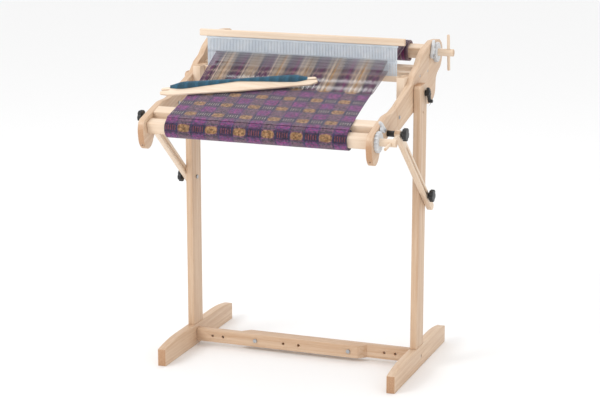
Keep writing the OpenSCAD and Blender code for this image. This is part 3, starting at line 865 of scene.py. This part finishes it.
@dataclass
class Weaving:
    """The cloth, the warp threads and the two rolls."""

    web: WebLine
    cloth_t: float = 1.5 * MM
    thread_r: float = 1.4 * MM
    pitch: float = 5.08 * MM
    rows: int = 100
    columns: int = 118
    turns: float = 3.6
    turn_step: float = 1.9 * MM
    steps_per_turn: int = 40
    draw_in: float = 0.02
    loop_out: float = 0.9 * MM
    loop_length: float = 5.2 * MM
    uneven_beat: float = 1.0 * MM
    beaten_share: float = 0.93
    roll_columns: int = 48
    cloth_lift: float = 0.3 * MM
    rest_lift: float = 0.9 * MM
    overlap: float = 4.0 * MM
    warp_lift: float = 0.5 * MM
    wander: float = 1.1 * MM
    wander_reach: float = 120 * MM
    squeeze: float = 0.45
    squeeze_reach: float = 40 * MM

    def build(self) -> list[bpy.types.Object]:
        """Makes the cloth, both rolls and both layers of the warp.

        Returns:
            The finished pieces.
        """
        return [
            self.cloth(),
            self.roll("cloth_roll_layers", "cloth_roll", "cloth_beam", self.web.front, self.web.front_r, -1),
            self.roll("warp_roll_layers", "warp_roll", "warp_beam", self.web.back, self.web.back_r, 1),
            self.slot_layer(),
            *self.hole_layer(),
        ]

    def cloth(self) -> bpy.types.Object:
        """Makes the flat cloth from the roll to the last weft.

        Returns:
            The finished cloth.
        """
        web = self.web
        deselect()
        bpy.ops.mesh.primitive_grid_add(x_subdivisions=self.columns, y_subdivisions=self.rows, size=1,
                                        calc_uvs=True)
        piece = bpy.context.object
        places = []
        for vertex in piece.data.vertices:
            across = vertex.co.x * 2 * web.half_w
            along = (vertex.co.y + 0.5) * web.woven
            places.append((across, along))
            # The weft draws the cloth in, and shows as small loops along both edges
            share = along / web.woven
            width = 1 - self.draw_in * math.sin(min(share, 1) * math.pi * 0.6)
            edge = abs(vertex.co.x * 2) ** 12
            loop = self.loop_out * math.sin(along / self.loop_length * math.pi) * edge
            # The last picks are beaten in unevenly
            last = max(0.0, share - self.beaten_share) / (1 - self.beaten_share)
            beat = self.uneven_beat * ripple(across * 90, 3.0) * last
            lift = 0.35 * MM * ripple(across * 60, along * 70) + self.cloth_lift
            vertex.co = web.at(across * width + math.copysign(loop, across), along + beat, lift)
        write_uv(piece, places)
        settle(piece, "cloth_plaid")
        apply_modifier(piece, "SOLIDIFY", thickness=self.cloth_t, offset=0.0)
        smooth(piece, 60)
        wear(piece, PLAID)
        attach(piece, "loom")
        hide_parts("cloth_web")
        return piece

    def roll(
        self, name: str, node: str, body: str, centre: Vector, radius: float, way: int
    ) -> bpy.types.Object:
        """Makes the cloth or warp wound on a beam, as one spiral sheet.

        Args:
            name: The piece's name.
            node: The model piece that it stands for.
            body: The beam's body.
            centre: A point on the beam's axis.
            radius: Outer radius of the roll.
            way: -1 winds down over the front, 1 over the back.

        Returns:
            The finished roll.
        """
        steps = int(self.turns * self.steps_per_turn)
        deselect()
        bpy.ops.mesh.primitive_grid_add(x_subdivisions=self.roll_columns, y_subdivisions=steps, size=1,
                                        calc_uvs=True)
        piece = bpy.context.object
        start = math.pi / 2 + self.web.angle
        full_turn = self.turns * 2 * math.pi
        outer = radius - self.cloth_t / 2
        shrink = self.turns * self.turn_step
        places = []
        for vertex in piece.data.vertices:
            share = vertex.co.y + 0.5
            turned = share * full_turn
            across = vertex.co.x * 2 * self.web.half_w
            edge = abs(vertex.co.x * 2) ** 10
            slack = abs(1.6 * MM * ripple(turned * 2.3, 5.0 + turned) * edge)
            r = outer - share * shrink + 0.25 * MM * ripple(across * 50, turned * 3) - self.cloth_lift
            angle = start - way * turned
            places.append((across, way * turned * radius))
            vertex.co = (across - math.copysign(slack, across), centre.y + r * math.cos(angle),
                         centre.z + r * math.sin(angle))
        write_uv(piece, places)
        settle(piece, name)
        if way < 0:
            with editing(piece):
                bpy.ops.mesh.flip_normals()
        apply_modifier(piece, "SOLIDIFY", thickness=self.cloth_t, offset=0.0)
        smooth(piece, 60)
        cloth = node == "cloth_roll"
        wear(piece, PLAID if cloth else WARP)
        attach(piece, body)
        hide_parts(node)
        return piece

    def thread(self, name: str, start: Vector, end: Vector, parts: int, count: int) -> bpy.types.Object:
        """Makes a row of straight threads side by side.

        Args:
            name: The piece's name.
            start: Front end of the leftmost thread.
            end: Back end of the leftmost thread.
            parts: Lengths that each thread is divided into.
            count: Number of threads.

        Returns:
            The row as one mesh.
        """
        step = end - start
        deselect()
        bpy.ops.mesh.primitive_cylinder_add(vertices=6, radius=self.thread_r, depth=step.length,
                                            end_fill_type="NGON")
        piece = bpy.context.object
        with editing(piece):
            for i in range(1, parts):
                bpy.ops.mesh.select_all(action="SELECT")
                bpy.ops.mesh.bisect(plane_co=(0, 0, step.length * (i / parts - 0.5)), plane_no=(0, 0, 1))
        piece.rotation_euler = step.to_track_quat("Z", "Y").to_euler()
        piece.location = (start + end) / 2
        settle(piece, name)
        in_one = len(piece.data.vertices)
        apply_modifier(piece, "ARRAY", count=count, use_relative_offset=False, use_constant_offset=True,
                       constant_offset_displace=(self.pitch, 0, 0))
        for i, vertex in enumerate(piece.data.vertices):
            one = i // in_one
            # The threads wander between the reed and the last weft, and are held narrow in the reed
            away = abs(vertex.co.y - self.web.reed_y)
            middle = start.x + one * self.pitch
            width = self.squeeze + (1 - self.squeeze) * min(1.0, away / self.squeeze_reach)
            vertex.co.x = middle + (vertex.co.x - middle) * width
            free = min(1.0, away / self.wander_reach)
            vertex.co.x += self.wander * ripple(one * 1.9 + start.z * 7, one * 0.37) * free
            vertex.co.z += 0.35 * MM * ripple(one * 2.7, 4.0) * free
        smooth(piece, 75)
        wear(piece, WARP)
        return piece

    def slot_layer(self) -> bpy.types.Object:
        """Makes the threads in the slots of the reed, straight from the last weft to the warp roll.

        Returns:
            The finished threads.
        """
        web = self.web
        count = int(2 * web.half_w / self.pitch)
        first = -(count - 1) / 2 * self.pitch
        piece = self.thread("slot_warp", web.at(first, web.woven - self.overlap, self.rest_lift),
                            web.at(first, web.length, self.warp_lift), 30, count)
        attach(piece, "loom")
        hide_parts("slot_threads")
        return piece

    def hole_layer(self) -> list[bpy.types.Object]:
        """Makes the threads in the eyes of the reed, in two straight lengths that meet at the eye.

        Returns:
            The finished threads in front of the reed, and those behind it.
        """
        web = self.web
        count = int(2 * web.half_w / self.pitch) - 1
        first = -(count - 1) / 2 * self.pitch
        eye = Vector((first, web.reed_y, web.eye_z))
        fell = web.at(first, web.woven - self.overlap, self.rest_lift)
        back = web.at(first, web.length, self.warp_lift)
        made = []
        for name, end in (("hole_warp_front", fell), ("hole_warp_back", back)):
            piece = self.thread(name, end, eye, 10, count)
            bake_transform(piece)
            made.append(piece)
        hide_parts("hole_threads")
        return made


@dataclass
class ShuttleYarn:
    """Teal weft yarn wound from fork to fork round the back edge of the shuttle."""

    strands: int = 32
    layers: int = 3
    strand_r: float = 1.3 * MM
    points: int = 29
    fork: float = 32.0 * MM
    shoulder: float = 70.0 * MM
    peak_rise: float = 8.0 * MM
    end_drop: float = 13.0 * MM
    end_w: float = 17.0 * MM
    end_t: float = 16.0 * MM
    peak_w: float = 5.5 * MM
    peak_t: float = 6.0 * MM
    wrap_deg: float = 168.0
    layer_step: float = 0.16
    closing: float = 0.16
    closed: float = 0.3

    def __post_init__(self) -> None:
        """Finds the shuttle's own directions and its reach each way from the model piece."""
        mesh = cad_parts["shuttle"].data
        top = max((face for face in mesh.polygons if face.normal.z > 0.5), key=lambda face: face.area)
        self.up = top.normal.copy()
        corners = [vertex.co for vertex in mesh.vertices]
        left = min(corners, key=lambda co: co.x)
        right = max(corners, key=lambda co: co.x)
        line = right - left
        self.line = (line - self.up * line.dot(self.up)).normalized()
        self.flat = self.up.cross(self.line)
        reach = [[co.dot(axis) for co in corners] for axis in (self.line, self.flat, self.up)]
        self.middle = [(min(values) + max(values)) / 2 for values in reach]
        self.half_length = (max(reach[0]) - min(reach[0])) / 2
        self.half_depth = (max(reach[2]) - min(reach[2])) / 2
        self.peak = max(reach[1])

    def at(self, along: float, across: float, out: float) -> Vector:
        """The point along the shuttle from its middle, across it, and out from its middle plane."""
        return (self.line * (self.middle[0] + along) + self.flat * across
                + self.up * (self.middle[2] + out))

    def strand(self, rank: int, layer: int) -> bpy.types.Object:
        """Makes one strand of the winding.

        Args:
            rank: Its place round the winding, from below the stick to above it.
            layer: 0 for the outermost layer.

        Returns:
            The strand as a mesh.
        """
        place_in_wrap = (rank + 0.5 * (layer % 2) + 0.25) / self.strands
        turn = math.radians(self.wrap_deg * (2 * place_in_wrap - 1))
        deselect()
        bpy.ops.curve.primitive_nurbs_path_add()
        curve = bpy.context.object
        spline = curve.data.splines[0]
        spline.points.add(self.points - len(spline.points))
        wound = self.half_length - self.fork
        clear = self.half_depth + self.strand_r
        for k, point in enumerate(spline.points):
            share = k / (self.points - 1) * 2 - 1
            near = abs(share)
            # The winding closes to a neck at each fork
            full = min(1.0, (1 - near) / self.closing)
            full = self.closed + (1 - self.closed) * full * full * (3 - 2 * full)
            swell = full * (1 - self.layer_step * layer) * (1 + 0.08 * ripple(share * 6, rank * 0.4))
            edge = self.peak - self.peak_rise * min(1.0, near * wound / (self.half_length - self.shoulder))
            centre = self.peak - self.end_drop * near
            half_w = self.peak_w + (self.end_w - self.peak_w) * near
            half_t = self.peak_t + (self.end_t - self.peak_t) * near
            angle = turn + 0.2 * share + 0.05 * ripple(rank * 3.1 + share * 4, layer * 2.0)
            across = centre + half_w * swell * math.cos(angle)
            out = half_t * swell * abs(math.sin(angle))
            if across < edge + self.strand_r:
                out = max(out, clear + (self.layers - 1 - layer) * 0.2 * MM)
            place = self.at(share * wound, across, math.copysign(out, math.sin(angle)))
            point.co = (*place, 1.0)
        spline.use_endpoint_u = True
        curve.data.bevel_depth = self.strand_r
        curve.data.bevel_resolution = 1
        curve.data.resolution_u = 2
        curve.data.use_fill_caps = True
        only(curve)
        bpy.ops.object.convert(target="MESH")
        return bpy.context.object

    def build(self) -> bpy.types.Object:
        """Makes the wound yarn.

        Returns:
            The finished winding, riding on the shuttle.
        """
        strands = [self.strand(rank, layer) for layer in range(self.layers) for rank in range(self.strands)]
        winding = joined(strands, "shuttle_winding")
        smooth(winding, 70)
        wear(winding, TEAL)
        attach(winding, "shuttle")
        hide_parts("shuttle_yarn")
        return winding


# ---- Studio ----


@dataclass(frozen=True)
class Lamp:
    """One soft round lamp: where it hangs and how wide it is, in metres, and its power in watts."""

    name: str
    place: tuple[float, float, float]
    size: float
    power: float

    def build(self, aim_at: Vector) -> None:
        """Hangs the lamp and turns it to a point.

        Args:
            aim_at: The point that it lights.
        """
        aim = aim_at - Vector(self.place)
        bpy.ops.object.light_add(type="AREA", location=self.place,
                                 rotation=aim.to_track_quat("-Z", "Y").to_euler())
        lamp = bpy.context.object
        lamp.name = self.name
        lamp.data.shape = "DISK"
        lamp.data.size = self.size
        lamp.data.energy = self.power


@dataclass
class Studio:
    """A white floor, soft daylight from the left, and the camera."""

    azimuth: float = 20.19
    pitch: float = 13.53
    distance: float = 5.5585
    lens: float = 109.17
    target: tuple[float, float, float] = (0.1231, -0.3768, 0.5997)
    floor_size: float = 24.0
    floor_drop: float = 0.4 * MM
    surround: float = 1.0
    lamps_aim: tuple[float, float, float] = (0.0, 0.0, 0.6)
    lamps: tuple[Lamp, ...] = (
        Lamp("key_lamp", (-2.4, -3.2, 3.2), 2.0, 70.0),
        Lamp("fill_lamp", (3.2, -2.4, 2.2), 2.6, 8.0),
        Lamp("top_lamp", (0.3, 1.2, 4.0), 3.0, 20.0),
    )

    def camera(self) -> None:
        """Puts the camera at its angle on the loom."""
        turn, rise = math.radians(self.azimuth), math.radians(self.pitch)
        back = Vector((math.sin(turn) * math.cos(rise), -math.cos(turn) * math.cos(rise), math.sin(rise)))
        foot_low, foot_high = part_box("foot_left")
        aim = Vector(self.target) + Vector((0, (foot_low.y + foot_high.y) / 2, 0))
        deselect()
        bpy.ops.object.camera_add(location=aim + back * self.distance,
                                  rotation=(-back).to_track_quat("-Z", "Y").to_euler())
        camera = bpy.context.object
        camera.data.lens = self.lens
        camera.data.sensor_width = 36.0
        camera.data.clip_end = 60.0
        bpy.context.scene.camera = camera
        bpy.context.scene.view_settings.view_transform = "Standard"

    def floor(self) -> None:
        """Lays the white paper floor."""
        deselect()
        bpy.ops.mesh.primitive_plane_add(size=self.floor_size, location=(0, 0, -self.floor_drop))
        floor = settle(bpy.context.object, "studio_floor")
        wear(floor, PaperSweep())

    def build(self) -> None:
        """Makes the camera, the floor, the lamps and the white surround."""
        self.camera()
        self.floor()
        for lamp in self.lamps:
            lamp.build(Vector(self.lamps_aim))
        world = bpy.data.worlds.new("white_surround")
        bpy.context.scene.world = world
        world.use_nodes = True
        background = world.node_tree.nodes["Background"]
        background.inputs["Color"].default_value = linear("ffffff")
        background.inputs["Strength"].default_value = self.surround


def main() -> None:
    """Builds the studio and every piece in order, and reports each one."""
    logging.basicConfig(level=logging.INFO, format="%(message)s")
    deselect()
    Studio().build()
    web = WebLine()
    made = [*Woodwork().build(), *Hardware().build(), Reed().build(), *Weaving(web).build(),
            ShuttleYarn().build()]
    for piece in made:
        LOG.info("%s: %d faces", piece.name, len(piece.data.polygons))
    deselect()


if __name__ == "__main__":
    main()
